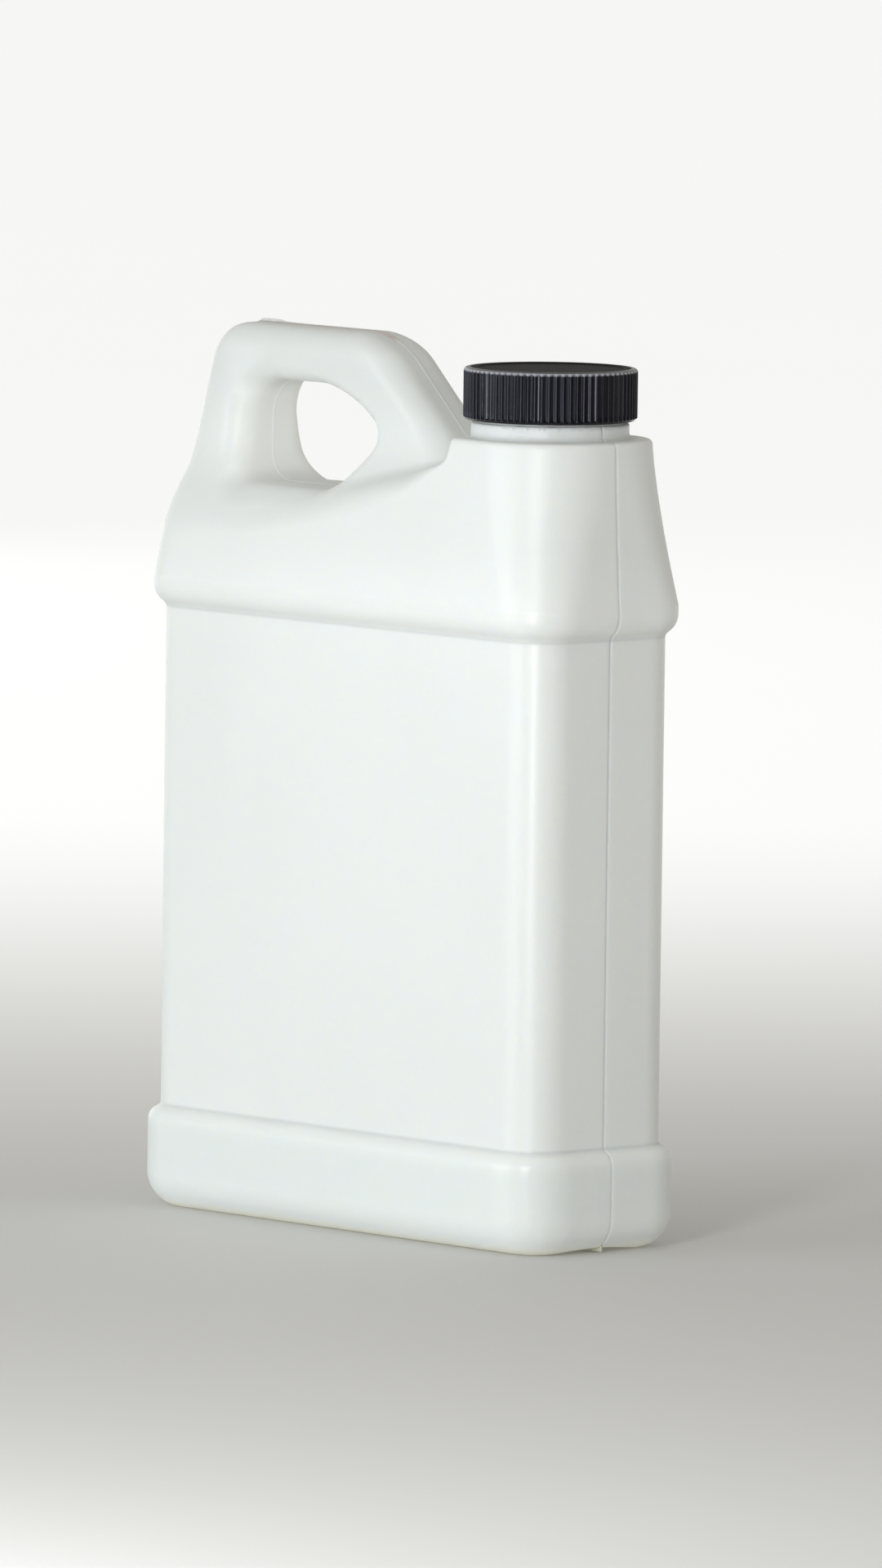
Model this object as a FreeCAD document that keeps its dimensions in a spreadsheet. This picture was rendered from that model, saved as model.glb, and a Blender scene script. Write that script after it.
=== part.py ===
import FreeCAD, Part

import math
import os

import Sketcher

# F-style jug: a blow-moulded hollow body with a pass-through handle, a screw cap and its liner.
# +X runs from the handle end to the neck end, +Y across the narrow depth, +Z up.
# The origin is on the floor under the middle of the base. Millimetres.

doc = FreeCAD.newDocument("f_style_jug")
sheet = doc.addObject("Spreadsheet::Sheet", "Dims")

DIMENSIONS = [
    # label panel, base bead and shoulder bead; the beads stand proud of the panel
    ("panel_width", 138.0),
    ("panel_depth", 45.0),
    ("panel_corner", 10.0),
    ("panel_height", 118.5),
    ("bead_step", 3.0),
    ("base_height", 24.0),
    ("base_lip", 3.6),
    ("heel_radius", 8.5),
    ("bead_height", 7.0),
    ("bead_lip", 5.0),
    # wall of the moulding
    ("wall", 1.1),
    # underside: push-up, pinch-off channel and the fin left by the mould
    ("pushup_length", 112.0),
    ("pushup_width", 24.0),
    ("pushup_rise", 2.6),
    ("pushup_draft", 4.0),
    ("pushup_corner", 8.0),
    ("channel_radius", 70.0),
    ("channel_depth", 0.9),
    ("fin_half", 68.8),
    ("fin_thick", 1.0),
    ("fin_lift", 0.15),
    ("fin_proud", 0.8),
    # flash left on top of the handle
    ("flash_length", 12.0),
    ("flash_thick", 0.8),
    ("flash_proud", 1.0),
    ("flash_inset", 8.3),
    # shoulder: levels are rises above the top of the shoulder bead
    ("crown_rise", 62.5),
    ("crown_half", 10.5),
    ("crown_inset", 3.9),
    ("crown_corner", 9.5),
    ("collar_radius", 23.1),
    ("collar_inset", 1.9),
    ("collar_corner", 21.0),
    ("collar_rise", 38.5),
    ("collar_lip", 1.4),
    ("ridge_edge", 2.5),
    ("collar_step", 10.8),
    ("collar_step_run", 1.4),
    ("collar_step_foot", 2.5),
    ("valley_rise", 33.3),
    ("valley_drop", 4.6),
    ("valley_reach", 25.0),
    ("valley_blend", 10.0),
    ("floor_pitch", 18.5),
    # handle: a flared bar over the grip hole
    ("handle_rise", 59.5),
    ("handle_half", 8.8),
    ("handle_inset", 8.7),
    ("handle_back_corner", 8.0),
    ("handle_nose", 53.3),
    ("handle_nose_corner", 6.0),
    ("handle_slope", 42.7),
    ("handle_end_lean", 19.6),
    ("handle_edge", 6.0),
    ("flare_radius", 22.0),
    ("flare_rise", 18.0),
    # grip hole
    ("grip_floor", 22.5),
    ("grip_roof_wall", 12.7),
    ("grip_back_wall", 12.3),
    ("grip_back_low_corner", 8.0),
    ("grip_back_high_corner", 6.0),
    ("grip_roof_front", 63.0),
    ("grip_tip", 49.5),
    ("grip_tip_rise", 13.2),
    ("grip_floor_front", 60.5),
    ("grip_roof_corner", 7.0),
    ("grip_tip_corner", 4.0),
    ("grip_floor_corner", 6.0),
    ("grip_edge", 4.5),
    # neck finish, 38-400
    ("shelf_step", 0.95),
    ("shelf_height", 3.6),
    ("shelf_chamfer", 0.6),
    ("neck_dia", 34.8),
    ("rim_land", 1.0584),
    ("neck_wall", 2.7),
    ("mouth_chamfer", 0.5),
    ("thread_height", 1.2),
    ("thread_pitch", 4.2333),
    ("thread_turns", 1.25),
    ("thread_base", 2.1),
    ("thread_start", 3.0),
    ("thread_flank", 30.0),
    # screw cap and its liner
    ("cap_gap", 0.5),
    ("cap_skirt", 1.35),
    ("cap_bore_clear", 0.25),
    ("cap_thread_height", 1.1),
    ("cap_thread_base", 1.9),
    ("thread_clear", 0.15),
    ("cap_panel", 1.3),
    ("cap_recess", 0.35),
    ("cap_rim", 1.8),
    ("cap_round", 1.2),
    ("cap_foot", 0.4),
    ("cap_foot_band", 0.8),
    ("cap_lead_in", 0.3),
    ("rib_count", 76),
    ("rib_height", 0.4),
    ("rib_flank", 52.0),
    ("bead_proud", 0.35),
    ("liner_thick", 0.9),
    ("liner_clear", 0.2),
]
for row, (alias, value) in enumerate(DIMENSIONS, start=1):
    sheet.set("A%d" % row, alias)
    sheet.set("B%d" % row, str(value))
    sheet.setAlias("B%d" % row, alias)
doc.recompute()

TOUCH = 0.01
SPARE = 5.0
FLAT_SHARE = 0.7
CORNER_FLATS = 3
THREAD_SINK = 0.3
V = FreeCAD.Vector
XZ_PLANE = FreeCAD.Rotation(V(1, 0, 0), 90)
YZ_PLANE = FreeCAD.Rotation(V(1, 1, 1), 120)

# levels
BASE_TOP = "Dims.base_height"
PANEL_TOP = "(Dims.base_height + Dims.panel_height)"
SHOULDER = "(%s + Dims.bead_height)" % PANEL_TOP
FOOT = "(%s - %g)" % (SHOULDER, SPARE)
COLLAR = "(%s + Dims.collar_rise)" % SHOULDER
VALLEY = "(%s + Dims.valley_rise)" % SHOULDER
HANDLE = "(%s + Dims.handle_rise)" % SHOULDER
CROWN = "(%s + Dims.crown_rise)" % SHOULDER
GRIP_FLOOR = "(%s + Dims.grip_floor)" % SHOULDER
GRIP_ROOF = "(%s - Dims.grip_roof_wall)" % HANDLE
SHELF = "(%s + Dims.shelf_height)" % COLLAR
THREAD_RISE = "(Dims.thread_turns * Dims.thread_pitch)"
NECK_TALL = "(Dims.thread_start + %s + Dims.thread_base / 2 + Dims.rim_land)" % THREAD_RISE
RIM = "(%s + %s)" % (SHELF, NECK_TALL)

# plan sizes
HALF_X = "(Dims.panel_width / 2 + Dims.bead_step)"
HALF_Y = "(Dims.panel_depth / 2 + Dims.bead_step)"
CORNER = "(Dims.panel_corner + Dims.bead_step)"
NECK_X = "(%s - Dims.collar_inset - Dims.collar_radius)" % HALF_X
STEP_X = "(%s - Dims.collar_step)" % NECK_X
CROWN_X = "(%s - Dims.crown_inset)" % HALF_X
BACK_X = "(Dims.handle_inset - %s)" % HALF_X
NOSE_X = "(%s - Dims.handle_nose)" % NECK_X
GRIP_BACK_X = "(%s + Dims.grip_back_wall)" % BACK_X


def size(expression):
    """The value of an expression over the sheet's cells."""
    found = sheet.evalExpression(str(expression).replace("Dims.", ""))
    return float(getattr(found, "Value", found))


def middle(edge):
    return edge.valueAt((edge.FirstParameter + edge.LastParameter) / 2)


def outline(name, corners, plane=None, level=None):
    """A closed sketch through the corners (x, y[, radius]), each corner rounded by its radius."""
    sketch = doc.addObject("Sketcher::SketchObject", name)
    count = len(corners)
    points = [V(size(c[0]), size(c[1]), 0) for c in corners]
    radii = [size(c[2]) if len(c) > 2 else 0.0 for c in corners]
    enter, leave = [], []
    for k, radius in enumerate(radii):
        back = (points[k - 1] - points[k]).normalize()
        ahead = (points[(k + 1) % count] - points[k]).normalize()
        reach = radius / math.tan(back.getAngle(ahead) / 2) if radius else 0.0
        enter.append(points[k] + back * reach)
        leave.append(points[k] + ahead * reach)
    lines = []
    for k in range(count):
        segment = Part.LineSegment(leave[k], enter[(k + 1) % count])
        lines.append(sketch.addGeometry(segment, False))

    def bind(kind, *rest):
        return sketch.addConstraint(Sketcher.Constraint(kind, *rest))

    bound = []
    for k, radius in enumerate(radii):
        before, after = lines[k - 1], lines[k]
        if radius:
            back = (points[k - 1] - points[k]).normalize()
            ahead = (points[(k + 1) % count] - points[k]).normalize()
            inward = (back + ahead).normalize()
            centre = points[k] + inward * (radius / math.sin(back.getAngle(ahead) / 2))
            left = back.cross(ahead).z < 0
            first, last = (enter[k], leave[k]) if left else (leave[k], enter[k])
            start = math.atan2(first.y - centre.y, first.x - centre.x)
            stop = math.atan2(last.y - centre.y, last.x - centre.x)
            if stop < start:
                stop += 2 * math.pi
            circle = Part.Circle(centre, V(0, 0, 1), radius)
            arc = sketch.addGeometry(Part.ArcOfCircle(circle, start, stop), False)
            bind("Tangent", before, 2, arc, 1 if left else 2)
            bind("Tangent", after, 1, arc, 2 if left else 1)
            corner = sketch.addGeometry(Part.Point(points[k]), True)
            bind("PointOnObject", corner, 1, before)
            bind("PointOnObject", corner, 1, after)
            bound.append((bind("Radius", arc, radius), corners[k][2]))
            held = corner
        else:
            bind("Coincident", before, 2, after, 1)
            held = after
        bound.append((bind("DistanceX", -1, 1, held, 1, points[k].x), corners[k][0]))
        bound.append((bind("DistanceY", -1, 1, held, 1, points[k].y), corners[k][1]))
    for index, expression in bound:
        if "Dims." in str(expression):
            sketch.setExpression("Constraints[%d]" % index, str(expression))
    if plane:
        sketch.Placement = FreeCAD.Placement(V(0, 0, 0), plane)
    if level:
        sketch.setExpression("Placement.Base.z", level)
    return sketch


def plan(name, half_x, half_y, corner, level):
    """A rounded rectangle centred on the origin, lying at a level."""
    low_x, low_y = "-(%s)" % half_x, "-(%s)" % half_y
    spots = [(half_x, low_y), (half_x, half_y), (low_x, half_y), (low_x, low_y)]
    return outline(name, [(x, y, corner) for x, y in spots], None, level)


def prism(name, base, length, symmetric=False):
    made = doc.addObject("Part::Extrusion", name)
    made.Base = base
    made.DirMode = "Normal"
    made.Solid = True
    made.Symmetric = symmetric
    made.setExpression("LengthFwd", length)
    return made


def loft(name, sections):
    made = doc.addObject("Part::Loft", name)
    made.Sections = sections
    made.Solid = True
    made.Ruled = True
    return made


def inset(name, source, distance):
    made = doc.addObject("Part::Offset2D", name)
    made.Source = source
    made.Join = "Intersection"
    made.setExpression("Value", distance)
    return made


def boolean(kind, name, base, tool):
    made = doc.addObject("Part::" + kind, name)
    made.Base = base
    made.Tool = tool
    made.Refine = True
    return made


def fuse(name, shapes):
    made = doc.addObject("Part::MultiFuse", name)
    made.Shapes = shapes
    made.Refine = True
    return made


def spin(name, source, centre):
    """The sketch turned about the vertical line through x = centre."""
    made = doc.addObject("Part::Revolution", name)
    made.Source = source
    made.Axis = V(0, 0, 1)
    made.Angle = 360
    made.Solid = True
    made.setExpression("Base.x", centre)
    return made


def dress(kind, name, base, amount, wanted):
    """Fillets or chamfers the edges of base that wanted(edge, middle) picks."""
    doc.recompute()
    edges = [k for k, edge in enumerate(base.Shape.Edges, start=1) if wanted(edge, middle(edge))]
    if not edges:
        raise RuntimeError("%s found no edges" % name)
    made = doc.addObject("Part::" + kind, name)
    made.Base = base
    made.Edges = [(k, size(amount), size(amount)) for k in edges]
    doc.recompute()
    return made


def soften(name, base, radius, i, wanted):
    """Rounds the outer form's edges; the hollow's get a flat that keeps the wall's thickness."""
    if i == "0":
        return dress("Fillet", name, base, radius, wanted)
    return dress("Chamfer", name, base, "%g * (%s - %s)" % (FLAT_SHARE, radius, i), wanted)


def ring(name, x0, x1, yl, yr, rl, rr, i, level):
    """A plan inset by i whose two ends have their own half depths; the hollow's corners are flats."""
    x0, x1 = "-(%s - %s)" % (x0, i), "(%s - %s)" % (x1, i)
    yl, yr = "(%s - %s)" % (yl, i), "(%s - %s)" % (yr, i)
    rl, rr = "(%s - %s)" % (rl, i), "(%s - %s)" % (rr, i)
    if i == "0":
        corners = [(x1, "-" + yr, rr), (x1, yr, rr), (x0, yl, rl), (x0, "-" + yl, rl)]
        return outline(name, corners, None, level)
    steps = [90.0 * k / CORNER_FLATS for k in range(CORNER_FLATS + 1)]
    across, along = "%s %s %s * (1 - cos(%g deg))", "%s - %s * (1 - sin(%g deg))"
    right = [(across % (x1, "-", rr, a), along % (yr, rr, a)) for a in steps]
    left = [(across % (x0, "+", rl, a), along % (yl, rl, a)) for a in steps]
    upper = right + left[::-1]
    lower = [(x, "-(%s)" % y) for x, y in upper[::-1]]
    return outline(name, upper + lower, None, level)


def at_level(level):
    height = size(level)

    def wanted(edge, mid):
        flat = edge.BoundBox.ZMax - edge.BoundBox.ZMin < TOUCH
        return flat and abs(mid.z - height) < TOUCH

    return wanted


# ---------------------------------------------------------------- jug body, outer form and hollow
# Every form is made twice by the same function: once full size, once inset by the wall.

def lower_body(tag, i):
    """Base bead, label panel and shoulder bead, inset by i."""
    bead_size = (HALF_X, HALF_X, HALF_Y, HALF_Y, CORNER, CORNER, i)
    panel_x, panel_y, panel_r = "Dims.panel_width / 2", "Dims.panel_depth / 2", "Dims.panel_corner"
    panel_size = (panel_x, panel_x, panel_y, panel_y, panel_r, panel_r, i)
    base_plan = ring("base_plan" + tag, *bead_size, i)
    base = prism("base_prism" + tag, base_plan, "%s - 2 * %s" % (BASE_TOP, i))
    heel = soften("heel" + tag, base, "Dims.heel_radius", i, at_level(i))
    lip = soften("base_lip" + tag, heel, "Dims.base_lip", i, at_level("%s - %s" % (BASE_TOP, i)))
    panel_plan = ring("panel_plan" + tag, *panel_size, "Dims.base_height / 2")
    panel_tall = "%s - Dims.base_height / 2 + Dims.bead_height / 2" % PANEL_TOP
    panel = prism("panel_prism" + tag, panel_plan, panel_tall)
    bead_low = "%s + %s" % (PANEL_TOP, i)
    bead_plan = ring("bead_plan" + tag, *bead_size, bead_low)
    bead = prism("bead_prism" + tag, bead_plan, "%s - (%s)" % (SHOULDER, bead_low))
    bead_lip = soften("bead_lip" + tag, bead, "Dims.bead_lip", i, at_level(bead_low))
    return [lip, panel, bead_lip]


def envelope(tag, i):
    """The tapering block that holds the whole shoulder, collar and handle."""
    share = "(Dims.collar_rise / Dims.crown_rise)"
    mid_x = "(%s + (%s - %s) * %s)" % (HALF_X, CROWN_X, HALF_X, share)
    mid_y = "(%s + (Dims.crown_half - %s) * %s)" % (HALF_Y, HALF_Y, share)
    mid_r = "(%s + (Dims.crown_corner - %s) * %s)" % (CORNER, CORNER, share)
    neck_end = "(%s + Dims.collar_radius)" % NECK_X
    collar_r = ("Dims.collar_radius", "Dims.collar_corner")
    low = ring("shoulder_low" + tag, HALF_X, HALF_X, HALF_Y, HALF_Y, CORNER, CORNER, i, SHOULDER)
    mid = ring("shoulder_mid" + tag, mid_x, neck_end, mid_y, collar_r[0], mid_r, collar_r[1], i, COLLAR)
    top = ring("shoulder_top" + tag, CROWN_X, neck_end, "Dims.crown_half", collar_r[0],
               "Dims.crown_corner", collar_r[1], i, CROWN)
    return loft("envelope" + tag, [low, mid, top])


slope = "tan(Dims.handle_slope * 1 deg)"
lean = "tan(Dims.handle_end_lean * 1 deg)"
slope_foot_x = "(%s - Dims.collar_radius)" % NECK_X
slope_foot_z = "(%s - (%s - %s) * %s)" % (HANDLE, slope_foot_x, NOSE_X, slope)
handle_outline = outline("handle_outline", [
    (slope_foot_x, FOOT),
    (slope_foot_x, slope_foot_z),
    (NOSE_X, HANDLE, "Dims.handle_nose_corner"),
    (BACK_X, HANDLE, "Dims.handle_back_corner"),
    ("%s - (%s - %s) * %s" % (BACK_X, HANDLE, FOOT, lean), FOOT),
], XZ_PLANE)
grip_outline = outline("grip_outline", [
    ("%s - Dims.grip_floor_front" % NECK_X, GRIP_FLOOR, "Dims.grip_floor_corner"),
    ("%s - Dims.grip_tip" % NECK_X, "%s + Dims.grip_tip_rise" % GRIP_FLOOR, "Dims.grip_tip_corner"),
    ("%s - Dims.grip_roof_front" % NECK_X, GRIP_ROOF, "Dims.grip_roof_corner"),
    (GRIP_BACK_X, GRIP_ROOF, "Dims.grip_back_high_corner"),
    (GRIP_BACK_X, GRIP_FLOOR, "Dims.grip_back_low_corner"),
], XZ_PLANE)
flare_low = "(%s + Dims.flare_rise)" % SHOULDER
flare_y = "(%s + %g)" % (HALF_Y, 3 * SPARE)
flare_high = "(%s + %g)" % (CROWN, SPARE)
flare_outline = outline("flare_outline", [
    ("-" + flare_y, FOOT),
    (flare_y, FOOT),
    (flare_y, flare_low),
    ("Dims.handle_half", flare_low, "Dims.flare_radius"),
    ("Dims.handle_half", flare_high),
    ("-Dims.handle_half", flare_high),
    ("-Dims.handle_half", flare_low, "Dims.flare_radius"),
    ("-" + flare_y, flare_low),
], YZ_PLANE)
collar_end = "(%s + %g)" % (HALF_X, 3 * SPARE)
step_foot_x = "(%s - Dims.collar_step_run)" % STEP_X
valley_x = "(%s - Dims.valley_reach)" % NECK_X
floor_end_x = "-(%s / 2)" % HALF_X
floor_end_z = "%s - (%s + %s / 2) * tan(Dims.floor_pitch * 1 deg)" % (VALLEY, valley_x, HALF_X)
collar_outline = outline("collar_outline", [
    (collar_end, FOOT),
    (collar_end, COLLAR),
    (STEP_X, COLLAR),
    (step_foot_x, "%s - Dims.valley_drop" % COLLAR, "Dims.collar_step_foot"),
    (valley_x, VALLEY, "Dims.valley_blend"),
    (floor_end_x, floor_end_z),
    (floor_end_x, FOOT),
], XZ_PLANE)
doc.recompute()


def shoulder(tag, i, profiles):
    """Flared handle and collar, both trimmed by the envelope."""
    handle_face, grip_face, flare_face, collar_face = profiles
    across = "2 * (%s + %g)" % (flare_y, SPARE)
    along = "4 * %s" % HALF_X
    bar = prism("handle_prism" + tag, handle_face, across, True)
    hole = prism("grip_prism" + tag, grip_face, across, True)
    flare = prism("flare_prism" + tag, flare_face, along, True)
    holed = boolean("Cut", "handle_holed" + tag, bar, hole)
    handle = boolean("Common", "handle_flared" + tag, holed, flare)
    doc.recompute()
    side = size("Dims.handle_half - %s" % i) - TOUCH
    floor = size(flare_low) - size(i) - TOUCH
    inner_end = size(slope_foot_x) - size(i) - TOUCH
    bar_skin, hole_skin = bar.Shape.Shells[0], hole.Shape.Shells[0]

    def on_skin(skin, edge, mid):
        if abs(mid.y) < side or edge.BoundBox.ZMin < floor or mid.x > inner_end:
            return False
        return skin.distToShape(Part.Vertex(mid))[0] < TOUCH

    def outer_edge(edge, mid):
        return on_skin(bar_skin, edge, mid)

    def grip_edge(edge, mid):
        return on_skin(hole_skin, edge, mid)

    rounded = soften("handle_edges" + tag, handle, "Dims.handle_edge", i, outer_edge)
    gripped = soften("grip_edges" + tag, rounded, "Dims.grip_edge", i, grip_edge)
    block = envelope(tag, i)
    trimmed = boolean("Common", "handle_trimmed" + tag, gripped, block)
    collar_prism = prism("collar_prism" + tag, collar_face, across, True)
    collar = boolean("Common", "collar_trimmed" + tag, collar_prism, block)
    doc.recompute()
    level = size(COLLAR) - size(i)
    step = size(STEP_X)

    def collar_rim(edge, mid):
        flat = edge.BoundBox.ZMax - edge.BoundBox.ZMin < TOUCH
        return flat and abs(mid.z - level) < TOUCH and edge.BoundBox.XMax > step + 2 * TOUCH

    if i != "0":
        return [trimmed, collar]

    # only the outer form is rounded where the flare and the valley floor meet the skirt
    block_skin, flare_skin = block.Shape.Shells[0], flare.Shape.Shells[0]
    floor_skin = collar_prism.Shape.Shells[0]
    floor_start = size(floor_end_x) + TOUCH
    floor_stop = size("(%s + %s) / 2" % (valley_x, step_foot_x))

    def on_both(skins, mid):
        return all(skin.distToShape(Part.Vertex(mid))[0] < 2 * TOUCH for skin in skins)

    def flare_ridge(edge, mid):
        return on_both([block_skin, flare_skin], mid)

    def floor_ridge(edge, mid):
        return floor_start < mid.x < floor_stop and on_both([block_skin, floor_skin], mid)

    trimmed = soften("flare_ridges", trimmed, "Dims.ridge_edge", i, flare_ridge)
    collar = soften("floor_ridges", collar, "Dims.ridge_edge", i, floor_ridge)
    collar = soften("collar_lip", collar, "Dims.collar_lip", i, collar_rim)
    return [trimmed, collar]


outer_profiles = [handle_outline, grip_outline, flare_outline, collar_outline]
inner_profiles = [
    inset("handle_inset_face", handle_outline, "-Dims.wall"),
    inset("grip_inset_face", grip_outline, "Dims.wall"),
    inset("flare_inset_face", flare_outline, "-Dims.wall"),
    inset("collar_inset_face", collar_outline, "-Dims.wall"),
]
outer_parts = lower_body("", "0") + shoulder("", "0", outer_profiles)
inner_parts = lower_body("_core", "Dims.wall") + shoulder("_core", "Dims.wall", inner_profiles)

# ---------------------------------------------------------------- neck, thread and underside
def helical_thread(name, radius, sink, height, base, start, inward=False):
    """A trapezoid swept up the neck's helix; it stands on radius and sinks into the wall behind."""
    helix = doc.addObject("Part::Helix", name + "_helix")
    helix.setExpression("Pitch", "Dims.thread_pitch")
    helix.setExpression("Height", THREAD_RISE)
    helix.setExpression("Radius", radius)
    helix.setExpression("Placement.Base.x", NECK_X)
    helix.setExpression("Placement.Base.z", start)
    sign = "-" if inward else "+"
    back = "+" if inward else "-"
    crest_x = "%s + %s %s %s" % (NECK_X, radius, sign, height)
    root_x = "%s + %s" % (NECK_X, radius)
    sunk_x = "%s + %s %s %g" % (NECK_X, radius, back, sink)
    half = "%s / 2" % base
    tip = "(%s / 2 - %s * tan(Dims.thread_flank * 1 deg))" % (base, height)
    section = outline(name + "_section", [
        (sunk_x, "%s - %s" % (start, half)),
        (root_x, "%s - %s" % (start, half)),
        (crest_x, "%s - %s" % (start, tip)),
        (crest_x, "%s + %s" % (start, tip)),
        (root_x, "%s + %s" % (start, half)),
        (sunk_x, "%s + %s" % (start, half)),
    ], XZ_PLANE)
    sweep = doc.addObject("Part::Sweep", name)
    doc.recompute()
    sweep.Sections = [section]
    sweep.Spine = (helix, ["Edge%d" % k for k in range(1, len(helix.Shape.Edges) + 1)])
    sweep.Solid = True
    sweep.Frenet = True
    return sweep


neck_base = "(%s - Dims.wall / 2)" % COLLAR
shelf_x = "%s + Dims.neck_dia / 2 + Dims.shelf_step" % NECK_X
neck_outline = outline("neck_outline", [
    (NECK_X, neck_base),
    (shelf_x, neck_base),
    (shelf_x, "%s - Dims.shelf_chamfer" % SHELF),
    (shelf_x + " - Dims.shelf_chamfer", SHELF),
    ("%s + Dims.neck_dia / 2" % NECK_X, SHELF),
    ("%s + Dims.neck_dia / 2" % NECK_X, RIM),
    (NECK_X, RIM),
], XZ_PLANE)
neck = spin("neck", neck_outline, NECK_X)
neck_thread = helical_thread("neck_thread", "Dims.neck_dia / 2", THREAD_SINK,
                             "Dims.thread_height", "Dims.thread_base",
                             "(%s + Dims.thread_start)" % SHELF)
mouth_x = "%s + Dims.neck_dia / 2 - Dims.neck_wall" % NECK_X
mouth_outline = outline("mouth_outline", [
    (NECK_X, "%s - 2 * Dims.wall" % COLLAR),
    (mouth_x, "%s - 2 * Dims.wall" % COLLAR),
    (mouth_x, "%s - Dims.mouth_chamfer" % RIM),
    (mouth_x + " + Dims.mouth_chamfer", RIM),
    (mouth_x + " + Dims.mouth_chamfer", "%s + %g" % (RIM, SPARE)),
    (NECK_X, "%s + %g" % (RIM, SPARE)),
], XZ_PLANE)
mouth = spin("mouth", mouth_outline, NECK_X)


def underside(tag, i):
    """Push-up and pinch-off channel below the floor, grown by i for the hollow."""
    foot = "-%g" % SPARE
    sole = plan("pushup_sole" + tag, "Dims.pushup_length / 2 + %s" % i, "Dims.pushup_width / 2 + %s" % i,
                "Dims.pushup_corner", "0")
    roof = plan("pushup_roof" + tag, "(Dims.pushup_length / 2 - Dims.pushup_draft + %s)" % i,
                "(Dims.pushup_width / 2 - Dims.pushup_draft + %s)" % i,
                "Dims.pushup_corner / 2", "Dims.pushup_rise + %s" % i)
    hump = loft("pushup" + tag, [sole, roof])
    channel = doc.addObject("Part::Cylinder", "channel" + tag)
    channel.setExpression("Radius", "Dims.channel_radius + %s" % i)
    channel.setExpression("Height", "2 * %s" % HALF_X)
    channel.Placement.Rotation = FreeCAD.Rotation(V(0, 1, 0), 90)
    channel.setExpression("Placement.Base.x", "-" + HALF_X)
    channel.setExpression("Placement.Base.z", "Dims.channel_depth - Dims.channel_radius")
    return fuse("underside" + tag, [hump, channel])


# the pinch-off fin follows the floor along the mould's parting plane
fin_level = "Dims.pushup_rise - Dims.fin_proud"
fin_shift = "Dims.fin_proud"
sole_x = "Dims.pushup_length / 2 - %s" % fin_shift
roof_x = "Dims.pushup_length / 2 - Dims.pushup_draft - %s" % fin_shift
fin_top = "Dims.pushup_rise + Dims.wall / 2"
fin_outline = outline("fin_outline", [
    ("-Dims.fin_half", "Dims.fin_lift"),
    ("-(%s)" % sole_x, "Dims.fin_lift"),
    ("-(%s)" % roof_x, fin_level),
    (roof_x, fin_level),
    (sole_x, "Dims.fin_lift"),
    ("Dims.fin_half", "Dims.fin_lift"),
    ("Dims.fin_half", fin_top),
    ("-Dims.fin_half", fin_top),
], XZ_PLANE)
fin = prism("fin", fin_outline, "Dims.fin_thick", True)
flash = doc.addObject("Part::Box", "flash")
flash.setExpression("Length", "Dims.flash_length")
flash.setExpression("Width", "Dims.flash_thick")
flash.setExpression("Height", "Dims.wall / 2 + Dims.flash_proud")
flash.setExpression("Placement.Base.x", "%s + Dims.flash_inset" % BACK_X)
flash.setExpression("Placement.Base.y", "-Dims.flash_thick / 2")
flash.setExpression("Placement.Base.z", "%s - Dims.wall / 2" % HANDLE)

moulding = fuse("moulding", outer_parts)
footed = boolean("Cut", "footed", moulding, underside("", "0"))
solid_jug = fuse("solid_jug", [footed, fin, flash, neck, neck_thread])
core = fuse("core", inner_parts)
core_floor = boolean("Cut", "core_floor", core, underside("_core", "Dims.wall"))
hollow = fuse("hollow", [core_floor, mouth])
jug_body = boolean("Cut", "jug_body", solid_jug, hollow)

# ---------------------------------------------------------------- screw cap
# The shell is a body whose own Z axis is the neck's axis; its heights count from the cap's foot.
FOOT_Z = "(%s + Dims.cap_gap)" % SHELF
CEILING = "(%s - Dims.cap_gap + Dims.liner_thick)" % NECK_TALL
CAP_TOP = "(%s + Dims.cap_panel)" % CEILING
BORE = "(Dims.neck_dia / 2 + Dims.thread_height + Dims.cap_bore_clear)"
CAP_R = "(%s + Dims.cap_skirt)" % BORE


def origin_plane(body, role):
    return next(f for f in body.Origin.OriginFeatures if f.Role == role)


def body_sketch(body, name, role):
    sketch = body.newObject("Sketcher::SketchObject", name)
    sketch.AttachmentSupport = [(origin_plane(body, role), "")]
    sketch.MapMode = "FlatFace"
    return sketch


def polygon(sketch, corners):
    """Straight edges through corners given as expressions; every corner is held by its x and y."""
    points = [V(size(x), size(y), 0) for x, y in corners]
    count = len(points)
    for k in range(count):
        sketch.addGeometry(Part.LineSegment(points[k], points[(k + 1) % count]), False)
    for k, (x, y) in enumerate(corners):
        sketch.addConstraint(Sketcher.Constraint("Coincident", k - 1 if k else count - 1, 2, k, 1))
        for kind, value, expression in (("DistanceX", points[k].x, x), ("DistanceY", points[k].y, y)):
            if abs(value) < 1e-9:
                axis = -2 if kind == "DistanceX" else -1
                sketch.addConstraint(Sketcher.Constraint("PointOnObject", k, 1, axis))
                continue
            index = sketch.addConstraint(Sketcher.Constraint(kind, -1, 1, k, 1, value))
            sketch.setExpression("Constraints[%d]" % index, expression)


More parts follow.
